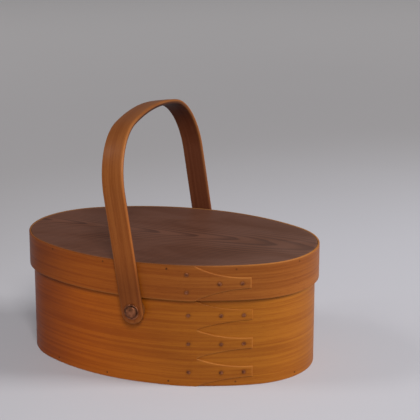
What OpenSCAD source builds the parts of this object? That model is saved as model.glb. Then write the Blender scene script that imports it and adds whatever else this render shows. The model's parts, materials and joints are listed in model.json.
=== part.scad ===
// Oval bentwood carrier with a lapped wall, a lift-off lid and a swinging handle.
// Millimetres. X runs along the box, -Y is the front, Z is up, and the origin is the middle of the bottom.

/* [Body] */
// Outside length of the wall
body_length = 270; // [220:1:320]
// Outside width of the wall
body_width = 178; // [152:1:210]
// Outside radius of the two ends of the oval
end_radius = 70; // [50:1:84]
// Height of the wall
body_height = 106; // [85:1:130]
// Thickness of the bent wall
body_band_thickness = 2.2; // [1.6:0.1:3.2]
// Thickness of the bottom board
bottom_thickness = 8; // [6:0.5:12]
// Gap round the edge of a board, inside its band
board_fit = 0.1; // [0.05:0.05:0.3]

/* [Lid] */
// Height of the lid's rim, board included
lid_rim_height = 32; // [24:0.5:44]
// Thickness of the lid's bent rim
lid_band_thickness = 1.8; // [1.2:0.1:3]
// Thickness of the lid board
lid_board_thickness = 6.5; // [5:0.5:10]
// Gap between the lid's rim and what stands out most on the wall
lid_clearance = 0.4; // [0.3:0.1:1]
// Gap between the lid board and the top edge of the wall
lid_seat_gap = 0.2; // [0.1:0.1:0.5]

/* [Finger laps] */
// Number of fingers on the wall
body_fingers = 4; // [2:1:6]
// Number of fingers on the lid's rim
lid_fingers = 1; // [1:1:2]
// Thickness of the thinned layer that carries the fingers
lap_thickness = 1.2; // [0.8:0.1:2]
// Distance from the handle to where the lapped layer has its full thickness
lap_start = 46; // [42:1:60]
// Length over which the lapped layer thins out to nothing
feather_length = 32; // [20:1:32]
// Length of the lapped layer between its full thickness and the fingers
lap_root = 8; // [6:1:14]
// Length of a finger
finger_length = 46; // [30:1:54]
// Width of a finger at its tip
finger_tip_width = 10; // [6:0.5:14]

/* [Tacks and pegs] */
// Radius of a tack's head
tack_head_radius = 1.7; // [1.2:0.1:2.2]
// Height of a tack's domed head
tack_head_height = 0.4; // [0.3:0.1:0.8]
// Radius of a tack's shank
tack_shank_radius = 0.6; // [0.4:0.1:0.8]
// Radius of a tack's flattened end, inside the band
clinch_radius = 0.9; // [0.8:0.1:1.2]
// Thickness of a tack's flattened end
clinch_thickness = 0.4; // [0.2:0.1:0.6]
// Distance from a finger's tip to its first tack
tip_to_tack = 7; // [5:0.5:10]
// Distance between the two tacks of a finger
finger_tack_spacing = 18; // [12:1:24]
// Number of tacks at the root of the wall's lap
body_lap_tack_count = 4; // [2:1:6]
// Number of tacks at the root of the lid's lap
lid_lap_tack_count = 2; // [1:1:3]
// Radius of a wooden peg
peg_radius = 0.9; // [0.6:0.1:1.4]
// Depth that a peg reaches into a board
peg_bite = 7; // [5:0.5:12]
// Number of pegs round the bottom board
bottom_peg_count = 12; // [8:1:18]
// Number of pegs round the lid board
lid_peg_count = 12; // [8:1:18]
// Gap round a tack, a peg or a rivet in its hole
drill_clearance = 0.05; // [0.02:0.01:0.1]

/* [Handle] */
// Distance from the lower edge of the lid's rim down to the handle's pivot
pivot_drop = 12; // [11:0.5:18]
// Width of the handle's strip
handle_width = 20; // [18:0.5:24]
// Thickness of the handle's strip
handle_thickness = 4.6; // [3:0.2:6]
// Gap between the handle and the ends of the box as it swings past them
end_clearance = 10.2; // [4:0.2:30]
// Radius of the arch's two shoulders
shoulder_radius = 56; // [44:1:68]
// Height of the arch's crown above its two shoulders
crown_rise = 4; // [2:0.5:16]
// Distance from the pivot to the end of the rounded foot
foot_reach = 11.5; // [10:0.5:14]
// How far the handle leans to the left, in degrees
handle_lean = 8.5; // [-15:0.5:15]
// Gap between the inside of the handle and the lid's rim
handle_clearance = 0.8; // [0.5:0.1:3]

/* [Pivots] */
// Radius of a rivet's shank
rivet_radius = 2.5; // [2:0.1:3.5]
// Radius of a rivet's head
rivet_head_radius = 5.5; // [4.5:0.1:7]
// Height of a rivet's domed head
rivet_head_height = 2; // [1.2:0.1:3]
// Radius of a rivet's headed end, inside the wall
rivet_tail_radius = 3.8; // [3.6:0.1:4.8]
// Height of a rivet's headed end
rivet_tail_height = 1.2; // [0.8:0.1:2]
// Radius of the washer under a rivet's head
washer_radius = 7; // [6:0.5:9]
// Thickness of the washer under a rivet's head
washer_thickness = 1; // [0.6:0.1:2]
// Radius of the spacer between the handle and the wall
spacer_radius = 9; // [7:0.5:10]
// Radius of the burr inside the wall
burr_radius = 6; // [5:0.5:8]
// Thickness of the burr inside the wall
burr_thickness = 1.2; // [0.8:0.1:2]
// Radial gap between the handle and its rivets
running_clearance = 0.06; // [0.02:0.01:0.1]
// Gap at each face of the handle's foot
side_clearance = 0.15; // [0.1:0.05:0.4]

/* [Hidden] */
$fn = 96;
// Sides of the large circles of the ovals
fine = 720;

AMBER = [0.63, 0.35, 0.12];
RIM_AMBER = [0.58, 0.31, 0.11];
DARK_BROWN = [0.33, 0.22, 0.17];
PINE = [0.72, 0.52, 0.30];
COPPER = [0.68, 0.38, 0.22];
PEG_WOOD = [0.45, 0.27, 0.12];

// Overlap that lets a cutter reach past the face it cuts
past = 1;

// The oval has four arcs: two ends of end_radius, and two sides that meet them without a corner
half_length = body_length / 2;
half_width = body_width / 2;
end_centre = half_length - end_radius;
side_centre = side_arc_centre(half_length, half_width, end_radius);
side_radius = half_width + side_centre;
side_angle = 90 - atan2(side_centre, end_centre);
side_arc = side_radius * side_angle * PI / 180;
end_arc = end_radius * (180 - 2 * side_angle) * PI / 180;
wall_length = 4 * side_arc + 2 * end_arc;

// The lid passes over the fingers and the tack heads on the wall
lid_inside = lap_thickness + tack_head_height + lid_clearance;
lid_outside = lid_inside + lid_band_thickness;
lid_board_bottom = body_height + lid_seat_gap;
lid_top = lid_board_bottom + lid_board_thickness;
lid_bottom = lid_top - lid_rim_height;

// Laps
finger_root = lap_start + lap_root;
finger_tip = finger_root + finger_length;

// The handle hangs outside the lid's rim, and its arch stands on two straight legs
pivot_height = lid_bottom - pivot_drop;
handle_inside = half_width + lid_outside + handle_clearance;
handle_outside = handle_inside + handle_thickness;
handle_middle = handle_inside + handle_thickness / 2;
end_reach = max(norm([half_length + lid_outside, lid_top - pivot_height]), norm([half_length, pivot_height]));
handle_rise = end_reach + end_clearance + handle_thickness / 2;
arch_rise = shoulder_radius + crown_rise;
spring_height = pivot_height + handle_rise - arch_rise;
foot_centre = pivot_height - foot_reach + handle_width / 2;
spacer_outside = handle_inside - side_clearance;
washer_inside = handle_outside + side_clearance;
head_inside = washer_inside + washer_thickness;
burr_inside = half_width - body_band_thickness - burr_thickness;
hole_radius = rivet_radius + drill_clearance;

// Distance from the middle of an oval to the centre of its side arcs
function side_arc_centre(length, width, radius) =
    ((length - radius) ^ 2 - (width - radius) ^ 2) / (2 * (width - radius));

// Direction of the wall's outward normal, in degrees from the front, at a distance along the wall
function turn_at(along) =
    along < side_arc ? along / side_radius * 180 / PI :
    along < side_arc + end_arc ? side_angle + (along - side_arc) / end_radius * 180 / PI :
    180 + turn_at(along - 2 * side_arc - end_arc);

// Direction of the wall's outward normal where the front of the grown oval is at x
function turn_at_x(x, grow) =
    x < (side_radius + grow) * sin(side_angle) ? asin(x / (side_radius + grow)) :
    asin((x - end_centre) / (end_radius + grow));

// Is the wall's arc a long side where its outward normal has this turn
function on_side(turn) = abs(cos(turn)) > cos(side_angle);

// Oval of four arcs, by half length, half width and end radius, grown all round
module oval(length, width, radius, grow) {
    centre = side_arc_centre(length, width, radius);
    reach = length - radius + (radius + grow) * cos(atan2(centre, length - radius));
    intersection() {
        translate([0, -centre]) circle(width + centre + grow, $fn = fine);
        translate([0, centre]) circle(width + centre + grow, $fn = fine);
        square([2 * reach, 4 * width], center = true);
    }
    for (end = [-1, 1])
        translate([end * (length - radius), 0]) circle(radius + grow, $fn = fine);
}

// Solid oval of the wall, grown all round
module wall_solid(grow, height) {
    linear_extrude(height) oval(half_length, half_width, end_radius, grow);
}

// Lapped layer in plan: full thickness up to the finger tips, thinned out by an arc on its other side
module lap_outline(grow) {
    outer = side_radius + grow + lap_thickness;
    turn = asin(lap_start / outer);
    bend = 2 * lap_thickness / (outer * (feather_length / side_radius) ^ 2);
    feather_radius = outer / (1 + bend);
    intersection() {
        oval(half_length, half_width, end_radius, grow + lap_thickness);
        translate([lap_start, -body_width]) square([finger_tip - lap_start, body_width]);
    }
    intersection() {
        translate([0, side_centre]) rotate(turn)
            translate([0, feather_radius - outer]) circle(feather_radius);
        translate([0, -body_width]) square([lap_start, body_width]);
    }
}

// Pointed gap between two fingers, made of two arcs, cut from the front to the back
module finger_gap(half_gap) {
    arc_radius = (finger_length ^ 2 + half_gap ^ 2) / (2 * half_gap);
    translate([finger_tip, 0, 0]) rotate([90, 0, 0]) linear_extrude(2 * body_width, center = true)
        intersection_for(side = [-1, 1])
            translate([0, side * (arc_radius - half_gap)]) circle(arc_radius);
}

// Band filled solid, with its fingers standing on it
module band_solid(grow, height, fingers) {
    pitch = height / fingers;
    wall_solid(grow, height);
    difference() {
        linear_extrude(height) lap_outline(grow);
        for (gap = [0 : fingers])
            translate([0, 0, gap * pitch]) finger_gap((pitch - finger_tip_width) / 2);
    }
}

// Puts children on the grown wall, with their Z along the outward normal
module on_wall(turn, grow) {
    radius = (on_side(turn) ? side_radius : end_radius) + grow;
    centre = on_side(turn) ? [0, sign(cos(turn)) * side_centre, 0] : [sign(sin(turn)) * end_centre, 0, 0];
    translate(centre) rotate(turn) translate([0, -radius, 0]) rotate([90, 0, 0]) children();
}

// Low dome with a flat underside
module dome(radius, height) {
    ball = (radius ^ 2 + height ^ 2) / (2 * height);
    intersection() {
        translate([0, 0, height - ball]) sphere(ball);
        cylinder(h = height + past, r = radius);
    }
}

// Copper tack driven through a thickness of wood and flattened behind it
module tack(grip) {
    back = grip + drill_clearance;
    dome(tack_head_radius, tack_head_height);
    translate([0, 0, -back]) cylinder(h = back, r = tack_shank_radius);
    translate([0, 0, -back - clinch_thickness]) cylinder(h = clinch_thickness, r = clinch_radius);
}

// Hole for a tack
module tack_hole(grip) {
    translate([0, 0, -grip - past]) cylinder(h = grip + 2 * past, r = tack_shank_radius + drill_clearance);
}

// Puts children at each tack of the fingers
module at_finger_tacks(grow, height, fingers) {
    for (finger = [0 : fingers - 1], row = [0, 1])
        translate([0, 0, (finger + 0.5) * height / fingers])
            on_wall(turn_at_x(finger_tip - tip_to_tack - row * finger_tack_spacing, grow), grow) children();
}

// Puts children at each tack at the root of a lap
module at_lap_tacks(grow, height, count) {
    for (tack = [0 : count - 1])
        translate([0, 0, (tack + 0.5) * height / count])
            on_wall(turn_at_x(lap_start + tack_head_radius, grow), grow) children();
}

// Pins round a board, from outside the band into the board's edge, with their holes when widened
module board_pins(count, grow, thickness, widen) {
    reach = thickness + board_fit + peg_bite;
    for (peg = [0 : count - 1])
        on_wall(turn_at((peg + 0.5) * wall_length / count), grow)
            translate([0, 0, -reach - widen])
                cylinder(h = reach + 2 * past + lap_thickness, r = peg_radius + widen);
}

// Holes through both sides of the wall for the rivets
module rivet_holes() {
    translate([0, 0, pivot_height]) rotate([90, 0, 0])
        cylinder(h = 2 * body_width, r = hole_radius, center = true);
}

// Round piece on the front pivot, between two distances from the middle of the box
module pivot_disc(from, to, radius) {
    translate([0, -from, pivot_height]) rotate([90, 0, 0]) cylinder(h = to - from, r = radius);
}

module body_solid() {
    band_solid(0, body_height, body_fingers);
}

module lid_solid() {
    translate([0, 0, lid_bottom]) band_solid(lid_outside, lid_rim_height, lid_fingers);
}

module bottom_pins(widen) {
    translate([0, 0, bottom_thickness / 2]) board_pins(bottom_peg_count, 0, body_band_thickness, widen);
}

module lid_pins(widen) {
    translate([0, 0, lid_top - lid_board_thickness / 2])
        board_pins(lid_peg_count, lid_outside, lid_band_thickness, widen);
}

module body_band() {
    grip = body_band_thickness + lap_thickness;
    color(AMBER) difference() {
        body_solid();
        translate([0, 0, -past]) wall_solid(-body_band_thickness, body_height + 2 * past);
        at_finger_tacks(lap_thickness, body_height, body_fingers) tack_hole(grip);
        at_lap_tacks(lap_thickness, body_height, body_lap_tack_count) tack_hole(grip);
        bottom_pins(drill_clearance);
        rivet_holes();
    }
}

module bottom_board() {
    color(PINE) difference() {
        wall_solid(-body_band_thickness - board_fit, bottom_thickness);
        bottom_pins(drill_clearance);
    }
}

module body_finger_tacks() {
    color(COPPER) at_finger_tacks(lap_thickness, body_height, body_fingers)
        tack(body_band_thickness + lap_thickness);
}

module body_lap_tacks() {
    color(COPPER) at_lap_tacks(lap_thickness, body_height, body_lap_tack_count)
        tack(body_band_thickness + lap_thickness);
}

module bottom_pegs() {
    color(PEG_WOOD) intersection() {
        bottom_pins(0);
        body_solid();
    }
}

module lid_band() {
    grip = lid_band_thickness + lap_thickness;
    color(RIM_AMBER) difference() {
        lid_solid();
        translate([0, 0, lid_bottom - past]) wall_solid(lid_inside, lid_rim_height + 2 * past);
        translate([0, 0, lid_bottom]) {
            at_finger_tacks(lid_outside + lap_thickness, lid_rim_height, lid_fingers) tack_hole(grip);
            at_lap_tacks(lid_outside + lap_thickness, lid_rim_height, lid_lap_tack_count) tack_hole(grip);
        }
        lid_pins(drill_clearance);
    }
}

module lid_board() {
    color(DARK_BROWN) difference() {
        translate([0, 0, lid_board_bottom]) wall_solid(lid_inside - board_fit, lid_board_thickness);
        lid_pins(drill_clearance);
    }
}

module lid_finger_tacks() {
    color(COPPER) translate([0, 0, lid_bottom])
        at_finger_tacks(lid_outside + lap_thickness, lid_rim_height, lid_fingers)
            tack(lid_band_thickness + lap_thickness);
}

module lid_lap_tacks() {
    color(COPPER) translate([0, 0, lid_bottom])
        at_lap_tacks(lid_outside + lap_thickness, lid_rim_height, lid_lap_tack_count)
            tack(lid_band_thickness + lap_thickness);
}

module lid_pegs() {
    color(PEG_WOOD) intersection() {
        lid_pins(0);
        lid_solid();
    }
}

// Handle seen from the end of the box, filled down to its feet, grown by half its thickness or shrunk
module arch_outline(grow, bottom) {
    translate([0, spring_height]) oval(handle_middle, arch_rise, shoulder_radius, grow);
    translate([-handle_middle - grow, bottom])
        square([2 * (handle_middle + grow), spring_height - bottom]);
}

// Handle seen from the front of the box: a straight strip with a round foot
module strip_outline() {
    translate([-handle_width / 2, foot_centre]) square([handle_width, pivot_height + 2 * handle_rise]);
    translate([0, foot_centre]) circle(handle_width / 2);
}

module handle() {
    foot_end = pivot_height - foot_reach;
    color(AMBER) translate([0, 0, pivot_height]) rotate([0, -handle_lean, 0]) translate([0, 0, -pivot_height])
        difference() {
            intersection() {
                rotate([90, 0, 90]) linear_extrude(2 * handle_width, center = true) difference() {
                    arch_outline(handle_thickness / 2, foot_end - past);
                    arch_outline(-handle_thickness / 2, foot_end - 2 * past);
                }
                rotate([90, 0, 0]) linear_extrude(2 * body_width, center = true) strip_outline();
            }
            translate([0, 0, pivot_height]) rotate([90, 0, 0])
                cylinder(h = 2 * body_width, r = rivet_radius + running_clearance, center = true);
        }
}

module rivet() {
    color(COPPER) {
        translate([0, -head_inside, pivot_height]) rotate([90, 0, 0])
            dome(rivet_head_radius, rivet_head_height);
        pivot_disc(burr_inside, head_inside, rivet_radius);
        translate([0, -burr_inside, pivot_height]) rotate([-90, 0, 0])
            dome(rivet_tail_radius, rivet_tail_height);
    }
}

module washer() {
    color(COPPER) difference() {
        pivot_disc(washer_inside, head_inside, washer_radius);
        rivet_holes();
    }
}

// The spacer's inner face is hollowed to sit on the wall
module spacer() {
    color(AMBER) difference() {
        pivot_disc(half_width - past, spacer_outside, spacer_radius);
        wall_solid(0, body_height);
        rivet_holes();
    }
}

// The burr's outer face is rounded to lie against the inside of the wall
module burr() {
    color(COPPER) difference() {
        intersection() {
            pivot_disc(burr_inside, half_width, burr_radius);
            wall_solid(-body_band_thickness, body_height);
        }
        rivet_holes();
    }
}

module front_rivet() { rivet(); }
module back_rivet() { mirror([0, 1, 0]) rivet(); }
module front_washer() { washer(); }
module back_washer() { mirror([0, 1, 0]) washer(); }
module front_spacer() { spacer(); }
module back_spacer() { mirror([0, 1, 0]) spacer(); }
module front_burr() { burr(); }
module back_burr() { mirror([0, 1, 0]) burr(); }

body_band();
bottom_board();
body_finger_tacks();
body_lap_tacks();
bottom_pegs();
lid_band();
lid_board();
lid_finger_tacks();
lid_lap_tacks();
lid_pegs();
handle();
front_rivet();
back_rivet();
front_washer();
back_washer();
front_spacer();
back_spacer();
front_burr();
back_burr();
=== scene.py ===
"""Looks of the oval bentwood carrier: bent bands, boards, copper fastenings and the swinging handle.

Metres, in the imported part's own frame: X along the box, the front towards -Y, Z up.
"""

import json
import math

import bpy
import numpy as np
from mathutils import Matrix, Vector


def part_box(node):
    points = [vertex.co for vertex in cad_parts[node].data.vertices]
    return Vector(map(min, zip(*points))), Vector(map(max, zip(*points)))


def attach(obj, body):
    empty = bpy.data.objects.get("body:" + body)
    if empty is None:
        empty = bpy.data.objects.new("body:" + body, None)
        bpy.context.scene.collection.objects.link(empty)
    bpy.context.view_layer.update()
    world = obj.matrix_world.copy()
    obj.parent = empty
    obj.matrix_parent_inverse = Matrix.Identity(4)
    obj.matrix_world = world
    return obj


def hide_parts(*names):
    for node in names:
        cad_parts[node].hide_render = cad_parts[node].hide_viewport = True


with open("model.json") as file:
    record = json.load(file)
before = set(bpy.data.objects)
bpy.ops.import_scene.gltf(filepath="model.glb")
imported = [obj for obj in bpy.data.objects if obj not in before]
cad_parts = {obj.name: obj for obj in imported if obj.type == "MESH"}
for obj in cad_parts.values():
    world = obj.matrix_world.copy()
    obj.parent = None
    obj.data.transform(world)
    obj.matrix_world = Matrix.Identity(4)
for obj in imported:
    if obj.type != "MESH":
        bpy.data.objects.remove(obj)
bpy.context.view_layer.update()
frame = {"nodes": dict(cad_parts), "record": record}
MM = 0.001

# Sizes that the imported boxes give
wall_low, wall_high = (np.array(corner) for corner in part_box("body_band"))
floor_low, floor_high = (np.array(corner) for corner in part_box("bottom_board"))
rim_low, rim_high = (np.array(corner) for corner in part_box("lid_band"))
lid_low, lid_high = (np.array(corner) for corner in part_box("lid_board"))
_, bail_high = (np.array(corner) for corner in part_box("handle"))
washer_low, washer_high = (np.array(corner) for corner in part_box("front_washer"))
spacer_low, spacer_high = (np.array(corner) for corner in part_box("front_spacer"))
_, burr_high = (np.array(corner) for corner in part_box("front_burr"))

# The oval
END_RADIUS = 70 * MM
HALF_LENGTH = wall_high[0]
HALF_WIDTH = wall_high[1]
BOARD_FIT = 0.1 * MM
WALL_HEIGHT = wall_high[2] - wall_low[2]
WALL_THICKNESS = HALF_LENGTH - floor_high[0] - BOARD_FIT
RIM_HEIGHT = rim_high[2] - rim_low[2]
RIM_OUT = rim_high[0] - HALF_LENGTH
RIM_THICKNESS = rim_high[0] - lid_high[0] - BOARD_FIT

# The finger laps
LAP_THICKNESS = 1.2 * MM
LAP_START = 46 * MM
FEATHER_LENGTH = 32 * MM
FEATHER_SHARE = 0.98
FINGER_ROOT = 54 * MM
FINGER_TIP = 100 * MM
FINGER_TIP_WIDTH = 10 * MM
WALL_FINGERS = 4
RIM_FINGERS = 1
LAYER_GAP = 0.02 * MM

# The tacks
TACK_HEAD_RADIUS = 1.7 * MM
TACK_HEAD_HEIGHT = 0.4 * MM
TACK_HEAD_LIP = 0.06 * MM
TACK_SINK = 0.02 * MM
TACK_SHANK_RADIUS = 0.6 * MM
CLINCH_RADIUS = 0.9 * MM
CLINCH_THICKNESS = 0.4 * MM
TIP_TO_TACK = 7 * MM
FINGER_TACK_SPACING = 18 * MM
WALL_LAP_TACKS = 4
RIM_LAP_TACKS = 2

# The handle
PIVOT = np.array(frame["record"]["behaviour"]["joints"][0]["pos_m"])
HANDLE_LEAN = math.radians(8.5)
HANDLE_WIDTH = 20 * MM
HANDLE_THICKNESS = 4.6 * MM
HANDLE_MIDDLE = bail_high[1] - HANDLE_THICKNESS / 2
SHOULDER_RADIUS = 56 * MM
CROWN_RISE = 4 * MM
ARCH_RISE = SHOULDER_RADIUS + CROWN_RISE
FOOT_REACH = 11.5 * MM
FOOT_LENGTH = FOOT_REACH + 16 * MM
FOOT_FLAT = (FOOT_REACH + 8 * MM, FOOT_REACH + 26 * MM)

# The pivots
PIVOT_HOLE_RADIUS = 2.55 * MM
RIVET_SHANK_RADIUS = PIVOT_HOLE_RADIUS - 0.05 * MM
RIVET_HEAD_RADIUS = 5.5 * MM
RIVET_HEAD_HEIGHT = 2 * MM
RIVET_HEAD_LIP = 0.3 * MM
RIVET_HEAD_UNDERCUT = 0.08 * MM
RIVET_SEAT = 0.01 * MM
RIVET_TAIL_RADIUS = 3.8 * MM
RIVET_TAIL_HEIGHT = 1.2 * MM
RIVET_TAIL_LIP = 0.2 * MM
HAMMER_DEPTH = 0.08 * MM
HAMMERED_FROM = 0.2 * MM
WASHER_EDGE = 0.35 * MM
SPACER_EDGE = 0.6 * MM
BURR_EDGE = 0.3 * MM
BURR_FIT = 0.1 * MM

# How the wood is worked: rounded edges, bevelled fingers, hollow boards and slight unevenness
EDGE_ROUND = 0.75 * MM
EDGE_SHARE = 0.45
INNER_EDGE_SHARE = 0.6
FINGER_BEVEL = 1.0 * MM
BEVEL_SHARE = 0.8
BEVEL_RUN = 6 * MM
BAND_RIPPLE = 0.1 * MM
BOARD_EDGE_ROUND = 0.8 * MM
BOARD_WAVER = 0.05 * MM
LID_SINK = 0.15 * MM
LID_HOLLOW = 0.25 * MM
BASE_HOLLOW = 0.2 * MM
STRIP_EDGE_ROUND = 1.6 * MM
STRIP_HOLE_ROUND = 0.3 * MM
STRIP_CROWN = 0.3 * MM
STRIP_WAVER = 0.06 * MM

# Distances in from a border at which a rounded edge has its rows of points
EDGE_INSETS = np.array([0, 0.1, 0.25, 0.45, 0.7, 1.0]) * MM
BOARD_INSETS = np.append(EDGE_INSETS, np.array([1.6, 3, 6]) * MM)
STRIP_INSETS = np.array([0, 0.05, 0.18, 0.4, 0.7, 1.1, 1.6, 2.2]) * MM

# Points along and round the grids
BEGINNING_POINTS = 34
ROUND_POINTS = 210
LAP_POINTS = 30
FINGER_POINTS = 44
BOARD_POINTS = 241
BOARD_RINGS = 16
HANDLE_POINTS = 210
TACK_POINTS = 33
RIVET_POINTS = 65
RING_POINTS = 73

# Points closer than this become one, and edges sharper than this stay sharp
WELD_REACH = 1e-7
SHARP_ANGLE = math.radians(42)


# Paths of straight stretches and arcs

def oval_arcs(half_length, half_width, end_radius):
    """The oval's four arcs: (side radius, half a side's turn, half a side's length, an end's length).
    The side's centre lies where a circle through the middle of the side touches both end circles."""
    end_centre = half_length - end_radius
    side_centre = (end_centre**2 - (half_width - end_radius) ** 2) / (2 * (half_width - end_radius))
    side_radius = half_width + side_centre
    side_turn = math.atan2(end_centre, side_centre)
    return side_radius, side_turn, side_radius * side_turn, end_radius * (math.pi - 2 * side_turn)


def follow(distance, start, heading, lengths, bends):
    """Points and headings at distances along a path of stretches, each with its length and its bend, which
    is one over its radius and positive to the left. Within a stretch the chord is distance times
    sin(a) / a, turned by a, where a is half the turn so far."""
    starts = [np.array(start, float)]
    headings = [heading]
    for length, bend in zip(lengths, bends):
        half_turn = length * bend / 2
        chord = length * np.sinc(half_turn / np.pi)
        way = headings[-1] + half_turn
        starts.append(starts[-1] + chord * np.array([math.cos(way), math.sin(way)]))
        headings.append(headings[-1] + 2 * half_turn)
    ends = np.cumsum(lengths)
    stretch = np.clip(np.searchsorted(ends, distance, side="right"), 0, len(lengths) - 1)
    travelled = distance - (ends - lengths)[stretch]
    half_turn = travelled * np.array(bends)[stretch] / 2
    way = np.array(headings)[stretch] + half_turn
    chord = travelled * np.sinc(half_turn / np.pi)
    points = np.array(starts)[stretch] + chord[..., None] * np.stack([np.cos(way), np.sin(way)], -1)
    return points, way + half_turn


side_radius, side_turn, side_arc, end_arc = oval_arcs(HALF_LENGTH, HALF_WIDTH, END_RADIUS)
WALL_LENGTH = 4 * side_arc + 2 * end_arc
LEFT_END = 3 * WALL_LENGTH / 4
PIVOTS_ALONG = (0, WALL_LENGTH / 2)


def round_the_wall(along):
    """Points on the oval of the wall's outside and its outward normals, at distances along it from the middle
    of the front to the right."""
    lengths = np.array([side_arc, end_arc, 2 * side_arc, end_arc, side_arc])
    bends = 1 / np.array([side_radius, END_RADIUS, side_radius, END_RADIUS, side_radius])
    points, heading = follow(np.mod(along, WALL_LENGTH), (0, -HALF_WIDTH), 0.0, lengths, bends)
    return points, np.stack([np.sin(heading), -np.cos(heading)], -1)


def along_at(x, out):
    """Distance along the wall to where the front of the oval, grown by out, is at x: the arc's radius times
    the angle whose sine is x over the grown radius."""
    grown_side = side_radius + out
    if x < grown_side * math.sin(side_turn):
        return side_radius * math.asin(x / grown_side)
    end_turn = math.asin((x - HALF_LENGTH + END_RADIUS) / (END_RADIUS + out))
    return side_arc + END_RADIUS * (end_turn - side_turn)


def on_wall(along, out, height):
    """Points at distances along, out from and up the wall."""
    points, normals = round_the_wall(along)
    flat = points + normals * np.asarray(out)[..., None]
    return np.concatenate([flat, np.broadcast_to(height, flat.shape[:-1])[..., None]], -1)


# Sheets, solids and meshes

def smooth_step(low, high, value):
    """0 below low, 1 above high, and 3 t squared - 2 t cubed between."""
    t = np.clip((value - low) / (high - low), 0, 1)
    return t * t * (3 - 2 * t)


def rounding(depth, radius):
    """How far a rounded edge falls away at a distance in from the border: a quarter circle of that radius."""
    inset = np.clip(radius - depth, 0, radius)
    return radius - np.sqrt(np.maximum(radius**2 - inset**2, 0))


def weld(*grids):
    """Joins grids of points into one sheet: points closer than a tenth of a micron become one, each cell of
    a grid is a face, and a cell with two equal corners is a triangle."""
    cells = []
    count = 0
    for grid in grids:
        index = count + np.arange(grid.shape[0] * grid.shape[1]).reshape(grid.shape[:2])
        corners = [index[:-1, :-1], index[1:, :-1], index[1:, 1:], index[:-1, 1:]]
        cells.append(np.stack(corners, -1).reshape(-1, 4))
        count += index.size
    points = np.concatenate([grid.reshape(-1, grid.shape[-1]) for grid in grids])
    steps = np.round(points / WELD_REACH)
    _, first, label = np.unique(steps, axis=0, return_index=True, return_inverse=True)
    cells = label.reshape(-1)[np.concatenate(cells)]
    repeat = cells == np.roll(cells, -1, axis=1)
    pinched = repeat.sum(1) == 1
    turned = (np.argmax(repeat, axis=1)[:, None] + np.arange(1, 4)) % 4
    triangles = np.take_along_axis(cells, turned, axis=1)[pinched]
    return points[first], [cells[~repeat.any(1)], triangles]


def thicken(faces, outer, inner):
    """Closes a sheet into a solid. outer and inner are its two sides, point for point, and a band of quads
    joins them along every border: the edges that no second face runs back along."""
    count = len(outer)
    edges = [np.stack([part, np.roll(part, -1, axis=1)], -1).reshape(-1, 2) for part in faces]
    edges = np.concatenate(edges)
    border = edges[~np.isin(edges[:, 0] * count + edges[:, 1], edges[:, 1] * count + edges[:, 0])]
    start, end = border.T
    walls = np.stack([end, start, start + count, end + count], -1)
    under = [part[:, ::-1] + count for part in faces]
    return np.concatenate([outer, inner]), faces + under + [walls]


def make_piece(name, points, faces, material, grain=None, marks=None):
    """A mesh object from points and faces, with grain as its UV map and each mark as a value on its
    points."""
    corners = np.concatenate([part.ravel() for part in faces]).astype(np.int32)
    sides = np.concatenate([np.full(len(part), part.shape[1]) for part in faces])
    mesh = bpy.data.meshes.new(name)
    mesh.vertices.add(len(points))
    mesh.vertices.foreach_set("co", np.asarray(points, np.float32).ravel())
    mesh.loops.add(len(corners))
    mesh.loops.foreach_set("vertex_index", corners)
    mesh.polygons.add(len(sides))
    mesh.polygons.foreach_set("loop_start", (np.cumsum(sides) - sides).astype(np.int32))
    mesh.update(calc_edges=True)
    mesh.polygons.foreach_set("use_smooth", np.ones(len(sides), bool))
    mesh.set_sharp_from_angle(angle=SHARP_ANGLE)
    if grain is not None:
        layer = mesh.uv_layers.new(name="grain")
        layer.uv.foreach_set("vector", np.asarray(grain, np.float32)[corners].ravel())
    for mark, values in (marks or {}).items():
        attribute = mesh.attributes.new(mark, "FLOAT", "POINT")
        attribute.data.foreach_set("value", np.asarray(values, np.float32))
    mesh.materials.append(material)
    piece = bpy.data.objects.new(name, mesh)
    bpy.context.scene.collection.objects.link(piece)
    return piece


def stand_for(piece, body, slot, *nodes):
    """The piece rides on a body and stands for these nodes, which are hidden. The slot is not used."""
    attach(piece, body)
    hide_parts(*nodes)


# Materials

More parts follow.
